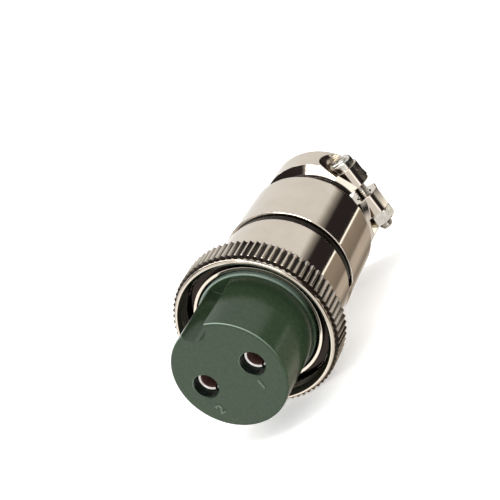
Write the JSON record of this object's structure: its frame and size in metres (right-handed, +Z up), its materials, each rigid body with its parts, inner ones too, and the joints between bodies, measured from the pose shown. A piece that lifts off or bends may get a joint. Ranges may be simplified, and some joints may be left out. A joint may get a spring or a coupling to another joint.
{
  "type": "circular connector cable plug",
  "caption": "Straight round cable plug with a green socket insulator, a knurled coupling nut, a plated barrel with a retaining ring, and a screwed cable clamp at its rear.",
  "frame": {"origin": "centre of the insulator's flat mating face", "axes": "+X along the plug's axis out of the mating face, +Z up through the keyway as the plug lies on its side"},
  "size_m": [0.0556, 0.029, 0.029],
  "materials": {
    "insulator": "moulded dark green phenolic, semi-gloss",
    "contact": "silver-plated brass",
    "shell": "nickel-plated brass, bright",
    "nut": "nickel-plated brass, straight knurl",
    "ring": "spring steel, plated",
    "screw": "nickel-plated steel"
  },
  "bodies": {
    "plug": {"barrel_shell": "shell", "insulator": "insulator", "contact_1": "contact", "contact_2": "contact", "retaining_ring": "ring", "clamp_screw_1": "screw", "clamp_screw_2": "screw"},
    "nut": {"coupling_nut": "nut"},
    "clamp": {"clamp_bar": "shell", "clamp_nut_1": "screw", "clamp_nut_2": "screw"}
  },
  "joints": [
    {"name": "nut_spin", "type": "hinge", "parent": "plug", "child": "nut", "pos_m": [-0.0155, 0, 0], "axis": [1, 0, 0], "continuous": true},
    {"name": "clamp_close", "type": "slide", "parent": "plug", "child": "clamp", "axis": [0, 0, 1], "range_m": [0, 0.002]}
  ]
}
